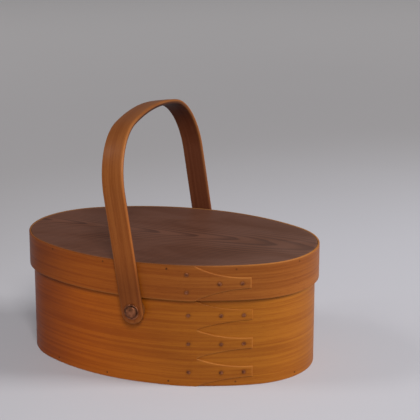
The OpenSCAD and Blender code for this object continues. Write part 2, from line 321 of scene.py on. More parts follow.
class Finish:
    """A node material on the Principled shader, with short ways to add and link its nodes."""

    def __init__(self, name, roughness=0.5, metallic=0.0, specular=0.5, coat=0.0, coat_roughness=0.2):
        self.material = bpy.data.materials.new(name)
        self.material.use_nodes = True
        self.tree = self.material.node_tree
        self.shader = self.tree.nodes["Principled BSDF"]
        self.shader.inputs["Roughness"].default_value = roughness
        self.shader.inputs["Metallic"].default_value = metallic
        self.shader.inputs["Specular IOR Level"].default_value = specular
        self.shader.inputs["Coat Weight"].default_value = coat
        self.shader.inputs["Coat Roughness"].default_value = coat_roughness

    def join(self, value, plug):
        """Links another node's output to an input, or sets the input to a number."""
        if isinstance(value, bpy.types.NodeSocket):
            self.tree.links.new(value, plug)
        else:
            plug.default_value = value

    def feed(self, plug, value):
        """Links a value to one of the shader's own inputs."""
        self.join(value, self.shader.inputs[plug])

    def add(self, kind, settings=None, plugs=(), **values):
        """A node of a kind, with its settings and its inputs: plugs in their order, and values by name."""
        made = self.tree.nodes.new(kind)
        for key, value in (settings or {}).items():
            setattr(made, key, value)
        for number, value in enumerate(plugs):
            self.join(value, made.inputs[number])
        for key, value in values.items():
            self.join(value, made.inputs[key])
        return made

    def math(self, operation, first, second=0.0, clamp=False):
        """One step of arithmetic on values."""
        settings = {"operation": operation, "use_clamp": clamp}
        return self.add("ShaderNodeMath", settings, (first, second)).outputs[0]

    def plus(self, first, second, clamp=False):
        """The sum of two values."""
        return self.math("ADD", first, second, clamp)

    def times(self, first, second):
        """The product of two values."""
        return self.math("MULTIPLY", first, second)

    def ramp(self, value, low, high, to_low=0.0, to_high=1.0):
        """value from low to high carried smoothly to a new range."""
        settings = {"interpolation_type": "SMOOTHSTEP"}
        return self.add("ShaderNodeMapRange", settings, (value, low, high, to_low, to_high)).outputs[0]

    def blend(self, share, first, second, way="MIX"):
        """Two colours mixed by a share from 0 to 1."""
        made = self.add("ShaderNodeMix", {"data_type": "RGBA", "blend_type": way, "clamp_factor": True})
        self.join(share, made.inputs[0])
        self.join(first, made.inputs[6])
        self.join(second, made.inputs[7])
        return made.outputs[2]

    def shade(self, share, tone, by):
        """A tone multiplied by a colour, by a share from 0 to 1."""
        return self.blend(share, tone, by, "MULTIPLY")

    def mark(self, name):
        """A value that the mesh carries on its points."""
        return self.add("ShaderNodeAttribute", {"attribute_name": name}).outputs["Fac"]

    def noise(self, place, stretch, detail=2.0, distortion=0.0, offset=(0, 0, 0)):
        """Noise on a place stretched to so many features a metre each way."""
        mapped = self.add("ShaderNodeMapping", Vector=place, Location=offset, Scale=stretch)
        settings = {"noise_dimensions": "3D"}
        made = self.add("ShaderNodeTexNoise", settings, Vector=mapped.outputs[0], Scale=1.0, Detail=detail,
                        Distortion=distortion)
        return made.outputs["Fac"]

    def grain(self):
        """The piece's own map: along the grain and across it, in metres."""
        return self.add("ShaderNodeUVMap", {"uv_map": "grain"}).outputs["UV"]

    def place(self):
        """Where a point lies in the part's own frame, in metres."""
        return self.add("ShaderNodeTexCoord").outputs["Object"]

    def bump(self, height, depth, strength):
        """Relief of a height from 0 to 1 and a depth in metres."""
        made = self.add("ShaderNodeBump", Height=height, Distance=depth, Strength=strength)
        self.feed("Normal", made.outputs["Normal"])


def colour(red, green, blue):
    """A shader colour from the 0 to 255 values of a picture: the standard curve undone."""
    parts = np.array([red, green, blue]) / 255
    linear = np.where(parts <= 0.04045, parts / 12.92, ((parts + 0.055) / 1.055) ** 2.4)
    return (*linear.tolist(), 1.0)


# What streaks, clouds in the finish, grime and painted shade, and scuffs multiply a wood's tone by
STREAK_SHADE = (0.76, 0.66, 0.56, 1)
CLOUD_SHADE = (0.82, 0.76, 0.7, 1)
GRIME_AND_SHADE_TONE = (0.3, 0.24, 0.22, 1)
SCUFF_LIGHT = (1.3, 1.3, 1.3, 1)

# The tones of rubbed edges and of the painted sheen that pales and greys a board
RUBBED = colour(190, 124, 60)
PAINTED_SHEEN_TONE = colour(134, 106, 94)

# Features a metre along the grain, across it and through it
STREAKS = (5, 330, 1)
FIBRES = (60, 2600, 1)
FLECKS = (240, 1700, 1)
CLOUDS = (9, 22, 1)
BOARD_DRIFT = (4, 9, 1)
BOARD_WEATHER = (6, 60, 1)
BOARD_FIBRES = (60, 1700, 1)
BOARD_CLOUDS = (13, 30, 1)
BOARD_SCUFFS = (90, 340, 1)

# Features a metre, the same each way
PATINA_PATCHES = (260, 260, 260)
PATINA_SPECKS = (2600, 2600, 2600)
PEG_PATCHES = (300, 300, 300)
PEG_PORES = (2800, 2800, 2800)
FLOOR_MOTTLE = (3, 3, 3)

# Depth of the relief in the wood's grain, in hammered copper and in a peg's end
GRAIN_DEPTH = 0.06 * MM
PATINA_DEPTH = 0.12 * MM
PORE_DEPTH = 0.05 * MM

# The heart of a board's trunk: how far below the board's middle it lies, how it slants and how it sways
HEART_DEPTH = 0.02
HEART_SLANT = 0.09
HEART_SWAY = 0.05
RINGS_A_METRE = 290

# The table's painted light: where its palest patch lies as a painted pool of light, and how far from there it
# greys as painted shade and then pales again as painted light where the lamps fall off
PAINTED_LIGHT_SHIFT = (-0.5, -0.05, 0)
PAINTED_SHADE_SPAN = (0.42, 1.15)
PAINTED_FAR_LIGHT_SPAN = (1.0, 2.7)
MOTTLE_REACH = 0.08


def bent_wood(name, red, gold, inside, offset):
    """Oiled hardwood bent along its grain. Its tone goes from red to gold where light has mellowed it, and
    partly
    as painted light: redder where the wood lies in shade, yellower where the light falls. Long streaks, fine
    fibres, short flecks and clouds darken it, edges are rubbed pale, grime darkens it round the fastenings,
    painted shade darkens it where shade falls, and its inner face has a tone of its own."""
    finish = Finish(name, specular=0.15, coat=0.04, coat_roughness=0.25)
    place = finish.grain()
    streaks = finish.noise(place, STREAKS, detail=5.0, distortion=0.35, offset=offset)
    fibres = finish.noise(place, FIBRES, offset=offset)
    flecks = finish.noise(place, FLECKS, detail=1.0, offset=offset)
    clouds = finish.noise(place, CLOUDS, detail=3.0, distortion=0.4, offset=offset)
    figure = finish.plus(finish.times(streaks, 0.7), finish.times(fibres, 0.3))
    tone = finish.blend(finish.mark("mellow_and_painted_light"), red, gold)
    tone = finish.blend(finish.mark("inner"), tone, inside)
    tone = finish.shade(finish.ramp(figure, 0.62, 0.38), tone, STREAK_SHADE)
    tone = finish.shade(finish.ramp(flecks, 0.6, 0.74, to_high=0.55), tone, STREAK_SHADE)
    tone = finish.shade(finish.ramp(clouds, 0.45, 0.72, to_high=0.6), tone, CLOUD_SHADE)
    rub = finish.times(finish.mark("worn"), finish.ramp(clouds, 0.3, 0.62))
    tone = finish.blend(finish.times(rub, 0.5), tone, RUBBED)
    finish.feed("Base Color", finish.shade(finish.mark("grime_and_shade"), tone, GRIME_AND_SHADE_TONE))
    roughness = finish.ramp(fibres, 0.3, 0.7, to_low=0.4, to_high=0.52)
    roughness = finish.plus(roughness, finish.times(rub, 0.15))
    roughness = finish.plus(roughness, finish.times(finish.mark("inner"), 0.2), clamp=True)
    finish.feed("Roughness", roughness)
    finish.bump(finish.plus(fibres, finish.times(flecks, -0.5)), GRAIN_DEPTH, 0.5)
    return finish.material


def board_wood(name, pale, deep, raw, offset):
    """A flat-sawn softwood board: the rings of a trunk whose heart lies under the board and slants, so that
    they arch in the middle and run close at the sides. Its top is stained pale and deep between the rings and
    paled and greyed by a painted sheen towards its right end, its underside keeps the raw tone, and edges are
    rubbed."""
    finish = Finish(name, specular=0.16)
    place = finish.grain()
    drift = finish.noise(place, BOARD_DRIFT, distortion=0.3, offset=offset)
    weather = finish.noise(place, BOARD_WEATHER, offset=offset)
    fibres = finish.noise(place, BOARD_FIBRES, offset=offset)
    clouds = finish.noise(place, BOARD_CLOUDS, detail=3.0, distortion=0.5, offset=offset)
    scuffs = finish.noise(place, BOARD_SCUFFS, detail=3.0, distortion=1.2, offset=offset)
    split = finish.add("ShaderNodeSeparateXYZ", Vector=place)
    sway = finish.times(finish.math("SUBTRACT", drift, 0.5), HEART_SWAY)
    across = finish.plus(split.outputs[1], sway)
    depth = finish.plus(HEART_DEPTH, finish.times(split.outputs[0], HEART_SLANT))
    squares = finish.plus(finish.math("POWER", across, 2.0), finish.math("POWER", depth, 2.0))
    age = finish.times(finish.math("SQRT", squares), RINGS_A_METRE)
    rings = finish.math("FRACT", finish.plus(age, weather))
    late = finish.times(finish.ramp(rings, 0.3, 0.9), finish.ramp(rings, 1.0, 0.92))
    figure = finish.plus(finish.times(late, 0.5), finish.times(fibres, 0.5))
    darkness = finish.ramp(figure, 0.15, 0.85)
    tone = finish.blend(darkness, pale, deep)
    tone = finish.blend(finish.mark("mellow_and_painted_light"), tone, PAINTED_SHEEN_TONE)
    tone = finish.blend(finish.mark("inner"), tone, finish.shade(darkness, raw, STREAK_SHADE))
    tone = finish.shade(finish.ramp(clouds, 0.42, 0.7), tone, CLOUD_SHADE)
    scuffed = finish.ramp(scuffs, 0.62, 0.76, to_high=0.3)
    rubbed = finish.ramp(finish.mark("worn"), 0.0, 1.0, to_high=0.5)
    tone = finish.shade(finish.math("MAXIMUM", scuffed, rubbed), tone, SCUFF_LIGHT)
    finish.feed("Base Color", finish.shade(finish.mark("grime_and_shade"), tone, GRIME_AND_SHADE_TONE))
    finish.feed("Roughness", finish.ramp(clouds, 0.3, 0.7, to_low=0.5, to_high=0.62))
    finish.bump(finish.math("SUBTRACT", fibres, finish.times(late, 0.3)), GRAIN_DEPTH, 0.5)
    return finish.material


def aged_copper(name, bright, brown, dark):
    """Copper gone brown: patches of patina, rubbed bright on the crown of each head, with hammer marks."""
    finish = Finish(name, metallic=1.0)
    place = finish.place()
    patches = finish.noise(place, PATINA_PATCHES, distortion=0.2)
    specks = finish.noise(place, PATINA_SPECKS)
    tone = finish.blend(finish.ramp(patches, 0.3, 0.72), brown, bright)
    tone = finish.blend(finish.times(finish.ramp(specks, 0.55, 0.75), 0.35), tone, dark)
    tone = finish.blend(finish.times(finish.mark("grime_and_shade"), 0.85), tone, dark)
    finish.feed("Base Color", tone)
    finish.feed("Roughness", finish.ramp(patches, 0.3, 0.7, to_low=0.5, to_high=0.34))
    finish.bump(finish.plus(patches, finish.times(specks, 0.08)), PATINA_DEPTH, 0.4)
    return finish.material


def peg_wood(name, pale, deep):
    """End grain of a small peg: dark pores in a brown ground."""
    finish = Finish(name, roughness=0.6, specular=0.12)
    place = finish.place()
    pores = finish.noise(place, PEG_PORES)
    patches = finish.noise(place, PEG_PATCHES)
    figure = finish.times(finish.plus(pores, patches), 0.5)
    finish.feed("Base Color", finish.blend(finish.ramp(figure, 0.36, 0.64), deep, pale))
    finish.bump(pores, PORE_DEPTH, 0.4)
    return finish.material


def pale_floor(name, near, middle, far):
    """A pale tabletop painted with light and shade: a painted pool of light, painted shade as it greys behind
    the object, and painted light as it pales again further off, with a faint mottle.
    """
    finish = Finish(name, roughness=0.8, specular=0.2)
    place = finish.place()
    shifted = finish.add("ShaderNodeMapping", Vector=place, Location=PAINTED_LIGHT_SHIFT).outputs[0]
    reach = finish.add("ShaderNodeVectorMath", {"operation": "LENGTH"}, (shifted,)).outputs["Value"]
    mottle = finish.math("SUBTRACT", finish.noise(place, FLOOR_MOTTLE), 0.5)
    drifted = finish.plus(reach, finish.times(mottle, MOTTLE_REACH))
    tone = finish.blend(finish.ramp(drifted, *PAINTED_SHADE_SPAN), near, middle)
    finish.feed("Base Color", finish.blend(finish.ramp(drifted, *PAINTED_FAR_LIGHT_SPAN), tone, far))
    return finish.material


wall_wood = bent_wood(
    "oiled_wall", red=colour(181, 88, 11), gold=colour(167, 99, 24), inside=colour(176, 128, 78),
    offset=(0, 0, 0))
rim_wood = bent_wood(
    "oiled_lid_rim", red=colour(167, 83, 13), gold=colour(157, 91, 32), inside=colour(172, 124, 76),
    offset=(3.1, 1.7, 5.3))
# The handle's dark inner tone is painted shade on the inner face of the arch and the far leg
handle_wood = bent_wood(
    "oiled_handle", red=colour(152, 83, 30), gold=colour(152, 93, 46), inside=colour(106, 57, 34),
    offset=(7.7, 2.9, 1.1))
# The spacer's tone is darker than the handle's, which also paints the shade in the gap behind the handle's
# foot
spacer_wood = bent_wood(
    "oiled_spacer", red=colour(118, 62, 20), gold=colour(118, 62, 20), inside=colour(110, 60, 22),
    offset=(1.9, 8.3, 4.7))
lid_wood = board_wood(
    "stained_lid_board", pale=colour(104, 66, 50), deep=colour(76, 46, 35), raw=colour(172, 126, 80),
    offset=(2.3, 0.7, 0.0))
bottom_wood = board_wood(
    "raw_base_board", pale=colour(186, 140, 90), deep=colour(158, 108, 62), raw=colour(172, 126, 78),
    offset=(5.9, 3.3, 0.0))
copper = aged_copper(
    "aged_copper", bright=colour(176, 112, 78), brown=colour(112, 66, 44), dark=colour(48, 30, 24))
pegs = peg_wood("peg_end_grain", pale=colour(122, 66, 24), deep=colour(84, 44, 16))


# Bent bands

def ripple(along, height):
    """The slight unevenness of a hand-bent band, from 0 to 1: three sines, whole turns round the wall."""
    turn = 2 * np.pi * along / WALL_LENGTH
    waves = np.sin(5 * turn + 40 * height) + np.sin(11 * turn - 70 * height + 1.3) + np.sin(17 * turn + 2.1)
    return 0.5 + waves / 6


def gap_beside_finger(x, pitch):
    """Half the width of the pointed gap between two fingers: two arcs that meet at the fingers' root and are
    parallel at their tips."""
    half_gap = (pitch - FINGER_TIP_WIDTH) / 2
    finger_length = FINGER_TIP - FINGER_ROOT
    arc_radius = (finger_length**2 + half_gap**2) / (2 * half_gap)
    from_tip = np.clip(FINGER_TIP - x, 0, finger_length)
    return np.sqrt(arc_radius**2 - from_tip**2) - (arc_radius - half_gap)


def band_plan(out, height, fingers):
    """The band laid flat: columns along it, from its thinned beginning once round and over itself to the
    finger tips, and rows up it, which the fingers draw together. Returns its sheet and where it laps."""
    begin = along_at(LAP_START - FEATHER_LENGTH, out)
    full = along_at(LAP_START, out)
    root = along_at(FINGER_ROOT, out)
    tip = along_at(FINGER_TIP, out + LAP_THICKNESS)
    columns = np.unique(np.round(np.concatenate([
        np.linspace(begin, tip, BEGINNING_POINTS),
        np.linspace(tip, WALL_LENGTH + begin, ROUND_POINTS),
        WALL_LENGTH + np.linspace(begin, root, LAP_POINTS),
        WALL_LENGTH + np.linspace(root, tip - EDGE_INSETS[-1], FINGER_POINTS),
        WALL_LENGTH + tip - EDGE_INSETS,
    ]), 9))
    pitch = height / fingers
    points, normals = round_the_wall(columns)
    x = points[:, 0] + normals[:, 0] * (out + LAP_THICKNESS)
    gap = np.where(columns > WALL_LENGTH + root, gap_beside_finger(x, pitch), 0)
    half = (pitch / 2 - gap)[:, None]
    inner = np.linspace(-1, 1, 4 + 12 // fingers)[1:-1] * (half - EDGE_INSETS[-1])
    rows = np.concatenate([EDGE_INSETS - half, inner, (half - EDGE_INSETS)[:, ::-1]], axis=1)
    along = np.broadcast_to(columns[:, None], rows.shape)
    grids = [np.stack([along, rows + (finger + 0.5) * pitch], -1) for finger in range(fingers)]
    return weld(*grids), (begin, full, root, tip)


# Marks on the bands: rubbed edges, mellowed wood that is partly painted light, redder at the left end in
# shade
#  and yellower at the right in the light, and a darkened top edge on the rim, which fades out to the right
#  over a share of the half length, where the rubbed pale edge shows as a painted highlight
EDGE_WEAR = (0.2 * MM, 1.3 * MM)
MELLOW_AND_LIGHT_SPAN = (-130 * MM, 110 * MM)
TOP_HIGHLIGHT_SPAN = (0.2, 0.9)
TOP_DARKENING_REACH = (0.3 * MM, 1.5 * MM)
INNER_TOP_DARKENING = 1 * MM


def bent_band(name, material, out, thickness, bottom, height, fingers, stains_and_shade, top_darkening):
    """A bent band as one closed strip. Its beginning thins to nothing inside, its other end climbs onto that
    over the same length and is cut into fingers. Each side of the strip is the oval moved out by its own
    distance, less a quarter circle at the borders and a slight ripple."""
    (plan, faces), (begin, full, root, tip) = band_plan(out, height, fingers)
    along, up = plan.T
    lapped = along - WALL_LENGTH
    lapping = lapped > begin - WELD_REACH
    beginning = smooth_step(begin, full, along)
    climbing = smooth_step(begin, full, lapped)
    taper = FEATHER_SHARE * thickness
    outside = np.where(lapping, LAP_THICKNESS * climbing, -taper * (1 - beginning))
    inside = np.where(lapping, LAYER_GAP - taper * (1 - climbing), -thickness)

    pitch = height / fingers
    points, normals = round_the_wall(along)
    x = points[:, 0] + normals[:, 0] * (out + LAP_THICKNESS)
    finger = np.clip(np.floor(up / pitch), 0, fingers - 1)
    from_side = pitch / 2 - gap_beside_finger(x, pitch) - np.abs(up - (finger + 0.5) * pitch)
    from_edge = np.minimum(up, height - up)
    from_tip = WALL_LENGTH + tip - along
    fingered = smooth_step(root, root + BEVEL_RUN, lapped)
    edge_round = np.minimum(EDGE_ROUND, EDGE_SHARE * (outside - inside))
    bevel_round = np.minimum(FINGER_BEVEL, BEVEL_SHARE * (outside - inside))
    fall = np.maximum.reduce([
        rounding(from_edge, edge_round),
        rounding(from_tip, edge_round),
        rounding(from_tip, bevel_round),
        rounding(from_side, bevel_round) * fingered,
    ])
    inner_fall = rounding(from_edge, INNER_EDGE_SHARE * edge_round) * (1 - climbing)
    uneven = BAND_RIPPLE * ripple(along, up)
    outer_side = on_wall(along, out + outside - fall - uneven, bottom + up)
    inner_side = on_wall(along, out + inside + inner_fall - uneven, bottom + up)
    solid, solid_faces = thicken(faces, outer_side, inner_side)

    edge = np.minimum(from_edge, np.where(fingered > 0, from_side, 1))
    # The rim's top edge is darkened, less so towards the right end, where the rubbed pale edge shows as a
    # painted highlight
    top_edge_darkening = top_darkening * (1 - smooth_step(*TOP_HIGHLIGHT_SPAN, points[:, 0] / HALF_LENGTH))
    grime_and_shade = top_edge_darkening * (1 - smooth_step(*TOP_DARKENING_REACH, height - up))
    worn = (1 - smooth_step(*EDGE_WEAR, np.minimum(edge, from_tip))) * (1 - grime_and_shade)
    # Stains round the tacks, painted shade round the pivots and at the left end, and a darkening over the lap
    for darkening_along, darkening_up, radius, strength in stains_and_shade:
        beside = np.mod(along - darkening_along + WALL_LENGTH / 2, WALL_LENGTH) - WALL_LENGTH / 2
        spread = np.hypot(beside, up + bottom - darkening_up)
        grime_and_shade = np.maximum(grime_and_shade, strength * (1 - smooth_step(0.4 * radius, radius, spread)))
    marks = {
        "worn": np.tile(worn, 2),
        "grime_and_shade": np.concatenate([grime_and_shade, top_edge_darkening * (height - up < INNER_TOP_DARKENING)]),
        "inner": np.repeat([0, 1], len(along)),
        # Red at the left end to gold at the right: a mellowed finish, partly painted light, the left in shade
        # and the right in the light
        "mellow_and_painted_light": np.tile(smooth_step(*MELLOW_AND_LIGHT_SPAN, points[:, 0]), 2),
    }
    return make_piece(name, solid, solid_faces, material, np.tile(plan, (2, 1)), marks)


def finger_tack_places(out, bottom, height, fingers):
    """(distance along, height) of the two tacks of each finger."""
    reach = [FINGER_TIP - TIP_TO_TACK - row * FINGER_TACK_SPACING for row in range(2)]
    return [(along_at(x, out), bottom + (finger + 0.5) * height / fingers)
            for finger in range(fingers) for x in reach]


def lap_tack_places(out, bottom, height, count):
    """(distance along, height) of the tacks at the root of a lap."""
    along = along_at(LAP_START + TACK_HEAD_RADIUS, out)
    return [(along, bottom + (tack + 0.5) * height / count) for tack in range(count)]


wall_finger_tacks = finger_tack_places(LAP_THICKNESS, wall_low[2], WALL_HEIGHT, WALL_FINGERS)
wall_lap_tacks = lap_tack_places(LAP_THICKNESS, wall_low[2], WALL_HEIGHT, WALL_LAP_TACKS)
rim_finger_tacks = finger_tack_places(RIM_OUT + LAP_THICKNESS, rim_low[2], RIM_HEIGHT, RIM_FINGERS)
rim_lap_tacks = lap_tack_places(RIM_OUT + LAP_THICKNESS, rim_low[2], RIM_HEIGHT, RIM_LAP_TACKS)

# Darkenings in the bands, as (radius, strength): stains round the tacks, painted shade round the pivots and
# at the left end, and a wide darkening over the lap
TACK_STAIN = (3.6 * MM, 0.5)
PIVOT_PAINTED_SHADE = (15 * MM, 0.3)
END_PAINTED_SHADE = (138 * MM, 0.57)
LAP_DARKENING = (95 * MM, 0.06)
LAP_DARKENING_PLACE = 60 * MM
RIM_TOP_DARKENING = 0.6


def band_stains_and_shade(tacks, middle):
    """(distance along, height, radius, strength) of a band's darkenings: stains round its tacks, painted
    shade round the two pivots, and wide ones at the height of its middle: painted shade at its left end and a
    darkening over its lap."""
    stains_and_shade = [(*tack, *TACK_STAIN) for tack in tacks]
    stains_and_shade += [(along, PIVOT[2], *PIVOT_PAINTED_SHADE) for along in PIVOTS_ALONG]
    stains_and_shade += [(LEFT_END, middle, *END_PAINTED_SHADE)]
    stains_and_shade += [(along_at(LAP_DARKENING_PLACE, 0), middle, *LAP_DARKENING)]
    return stains_and_shade


wall_stains_and_shade = band_stains_and_shade(wall_finger_tacks + wall_lap_tacks, WALL_HEIGHT / 2)
body_wall = bent_band(
    "bent_wall", wall_wood, 0, WALL_THICKNESS, wall_low[2], WALL_HEIGHT, WALL_FINGERS, wall_stains_and_shade, 0)
stand_for(body_wall, "box", "wall_wood", "body_band")
rim_stains_and_shade = band_stains_and_shade(rim_finger_tacks + rim_lap_tacks, lid_high[2] - RIM_HEIGHT / 2)
lid_rim = bent_band(
    "bent_lid_rim", rim_wood, RIM_OUT, RIM_THICKNESS, rim_low[2], RIM_HEIGHT, RIM_FINGERS, rim_stains_and_shade,
    RIM_TOP_DARKENING)
stand_for(lid_rim, "lid", "lid_rim_wood", "lid_band")


# Oval boards

# Marks on the boards: rubbed edges, grime in the joint, and how strongly a painted sheen pales and greys the
# lid's right end
BOARD_WEAR = (0.2 * MM, 2.5 * MM)
JOINT_GRIME = (0, 0.35 * MM)
LID_PAINTED_SHEEN = 0.22


def oval_board(name, material, out, low, high, hollow, painted_sheen):
    """A board cut to the oval: rings drawn in from its edge, then shrunk towards its middle. Its faces are
    flat but for rounded edges and a slight hollow, which falls with the square of the distance from the
    edge."""
    around = np.linspace(0, WALL_LENGTH, BOARD_POINTS)
    shrinking = np.linspace(0, 1, BOARD_RINGS)[1:]
    points, normals = round_the_wall(around)
    rings = points + normals * (out - BOARD_INSETS)[:, None, None]
    shrunk = rings[-1] * (1 - shrinking)[:, None, None]
    flat = np.concatenate([rings, shrunk])[::-1]
    depths = BOARD_INSETS[-1] + (HALF_WIDTH - BOARD_INSETS[-1]) * shrinking
    depths = np.append(BOARD_INSETS, depths)[::-1]
    sheet, faces = weld(np.dstack([flat, np.broadcast_to(depths[:, None], flat.shape[:2])]))
    plan, inset = sheet[:, :2], sheet[:, 2]
    x, y = plan.T
    fall = rounding(inset, BOARD_EDGE_ROUND)
    waver = BOARD_WAVER * (1 + np.sin(90 * y + 6 * x) * np.cos(14 * x))
    top = np.column_stack([plan, high - fall - hollow * (inset / HALF_WIDTH) ** 2 - waver])
    under = np.column_stack([plan, low + fall])
    solid, solid_faces = thicken(faces, top, under)
    marks = {
        "worn": np.tile(1 - smooth_step(*BOARD_WEAR, inset), 2),
        "grime_and_shade": np.tile(1 - smooth_step(*JOINT_GRIME, inset), 2),
        "inner": np.repeat([0, 1], len(plan)),
        # The right end paled and greyed: a painted sheen
        "mellow_and_painted_light": np.tile(painted_sheen * smooth_step(0, HALF_LENGTH, x), 2),
    }
    return make_piece(name, solid, solid_faces, material, np.tile(plan, (2, 1)), marks)


lid_board = oval_board(
    "lid_top_board", lid_wood, RIM_OUT - RIM_THICKNESS - BOARD_FIT, lid_low[2], lid_high[2] - LID_SINK,
    LID_HOLLOW, LID_PAINTED_SHEEN)
stand_for(lid_board, "lid", "lid_board_wood", "lid_board")
base_board = oval_board(
    "base_board", bottom_wood, -WALL_THICKNESS - BOARD_FIT, floor_low[2], floor_high[2], BASE_HOLLOW, 0)
stand_for(base_board, "box", "bottom_wood", "bottom_board")


# Copper tacks

TACK_TILT = 0.05


def tack_heads(name, places, out, grip, seed):
    """Copper tacks as solids of revolution: a domed head, a shank and a flattened end. Each head is a little
    uneven round its rim, from two sines with chance phases, and tilts by chance."""
    chance = np.random.default_rng(seed)
    count = len(places)
    along, up = np.array(places).T
    dome = np.linspace(0, 1, 7)
    back = -grip - TACK_SINK
    profile = np.array([
        *zip(TACK_HEAD_RADIUS * dome, TACK_HEAD_HEIGHT * (0.25 + 0.75 * (1 - dome**2))),
        (0.98 * TACK_HEAD_RADIUS, TACK_HEAD_LIP),
        (0.9 * TACK_HEAD_RADIUS, -TACK_SINK),
        (TACK_SHANK_RADIUS, -TACK_SINK),
        (TACK_SHANK_RADIUS, back),
        (CLINCH_RADIUS, back),
        (CLINCH_RADIUS, back - 0.6 * CLINCH_THICKNESS),
        (0.8 * CLINCH_RADIUS, back - CLINCH_THICKNESS),
        (0, back - CLINCH_THICKNESS),
    ])
    radius, height = profile.T[..., None]
    angle = np.linspace(0, 2 * np.pi, TACK_POINTS)
    phase = chance.uniform(0, 2 * np.pi, (2, count, 1, 1))
    uneven = 1 + 0.035 * np.sin(2 * angle + phase[0]) + 0.03 * np.sin(5 * angle + phase[1])
    tilt = chance.uniform(-TACK_TILT, TACK_TILT, (2, count, 1, 1))
    right, rise = radius * uneven * np.cos(angle), radius * uneven * np.sin(angle)
    off = height + np.where(height > 0, tilt[0] * right + tilt[1] * rise, 0)
    points, normals = round_the_wall(along)
    base = np.column_stack([points + normals * out, up])[:, None, None, :]
    ahead = np.column_stack([-normals[:, 1], normals[:, 0], 0 * up])[:, None, None, :]
    outward = np.column_stack([normals, 0 * up])[:, None, None, :]
    upward = np.array([0, 0, 1.0])
    solid = base + right[..., None] * ahead + rise[..., None] * upward + off[..., None] * outward
    points, faces = weld(*solid)
    return make_piece(name, points, faces, copper, None, {"grime_and_shade": np.zeros(len(points))})


wall_grip = WALL_THICKNESS + LAP_THICKNESS
rim_grip = RIM_THICKNESS + LAP_THICKNESS
tack_sets = [
    ("wall_finger_tacks", wall_finger_tacks, LAP_THICKNESS, wall_grip, "box", "body_finger_tacks"),
    ("wall_lap_tacks", wall_lap_tacks, LAP_THICKNESS, wall_grip, "box", "body_lap_tacks"),
    ("rim_finger_tacks", rim_finger_tacks, RIM_OUT + LAP_THICKNESS, rim_grip, "lid", "lid_finger_tacks"),
    ("rim_lap_tacks", rim_lap_tacks, RIM_OUT + LAP_THICKNESS, rim_grip, "lid", "lid_lap_tacks"),
]
for seed, (name, places, out, grip, body, node) in enumerate(tack_sets):
    stand_for(tack_heads(name, places, out, grip, seed), body, "copper", node)
for node in ("bottom_pegs", "lid_pegs"):
    peg_mesh = frame["nodes"][node].data
    peg_mesh.materials.clear()
    peg_mesh.materials.append(pegs)


# The handle

crown_height = (bail_high[2] - PIVOT[2] - math.sin(HANDLE_LEAN) * HANDLE_WIDTH / 2) / math.cos(HANDLE_LEAN)
ARCH_TOP = crown_height - HANDLE_THICKNESS / 2
LEG_LENGTH = ARCH_TOP - ARCH_RISE + FOOT_REACH
crown_radius, crown_turn, half_crown, _ = oval_arcs(HANDLE_MIDDLE, ARCH_RISE, SHOULDER_RADIUS)
SHOULDER_ARC = SHOULDER_RADIUS * (math.pi / 2 - crown_turn)
HANDLE_LENGTH = 2 * (LEG_LENGTH + SHOULDER_ARC + half_crown)


def along_handle(along, across, off):
    """Points on the bent strip: along its middle line from the front foot's end, up the leg, over the arch
    and down, across it towards -X, and off its middle face to the outside. The strip leans about the
    pivot."""
    lengths = np.array([LEG_LENGTH, SHOULDER_ARC, 2 * half_crown, SHOULDER_ARC, LEG_LENGTH])
    bends = -np.array([0, 1 / SHOULDER_RADIUS, 1 / crown_radius, 1 / SHOULDER_RADIUS, 0])
    line, heading = follow(along, (-HANDLE_MIDDLE, -FOOT_REACH), math.pi / 2, lengths, bends)
    x = -across
    y = line[:, 0] - np.sin(heading) * off
    z = line[:, 1] + np.cos(heading) * off
    cos, sin = math.cos(HANDLE_LEAN), math.sin(HANDLE_LEAN)
    return np.column_stack([cos * x - sin * z, y, PIVOT[2] + sin * x + cos * z])


def handle_foot(rows):
    """A foot of the strip laid flat, as rays from the pivot hole to the foot's outline: half a circle at its
    end, two straight sides, and a line across, where the strip goes on with the same rows."""
    half = HANDLE_WIDTH / 2
    side = np.linspace(FOOT_LENGTH, half, 9)[1:]
    arc = np.linspace(0, np.pi, 41)[1:]
    back = np.linspace(half, FOOT_LENGTH, 9)[1:-1]
    outline = np.concatenate([
        np.column_stack([np.full(len(rows), FOOT_LENGTH), rows]),
        np.column_stack([side, np.full(len(side), half)]),
        np.column_stack([half - half * np.sin(arc), half * np.cos(arc)]),
        np.column_stack([back, np.full(len(back), -half)]),
    ])
    outline = np.concatenate([outline, outline[:1]])
    rays = outline - [FOOT_REACH, 0]
    length = np.linalg.norm(rays, axis=1, keepdims=True)
    hole = np.array([FOOT_REACH, 0]) + rays / length * PIVOT_HOLE_RADIUS
    near_edge = 1 - STRIP_INSETS[::-1] / (length.max() - PIVOT_HOLE_RADIUS)
    share = np.concatenate([[0, 0.03], np.linspace(0.1, near_edge[0] - 0.06, 7), near_edge])
    return hole + (outline - hole) * share[:, None, None]


# Marks on the handle: rubbed edges, the grip that hands have darkened, its inner face under the crown
# darkened by hands' grime and painted shade, and painted shade on the legs above the feet
STRIP_WEAR = (0.3 * MM, 2.4 * MM)
WEAR_SHARE = 0.6
GRIPPED = (35 * MM, 110 * MM)
GRIP_GRIME = 0.3
INNER_GRIP_GRIME_AND_SHADE = 0.9
LEG_DARKENS = (-20 * MM, 34 * MM)
LEG_CLEARS = (26 * MM, 70 * MM)
LEG_PAINTED_SHADE = 0.45


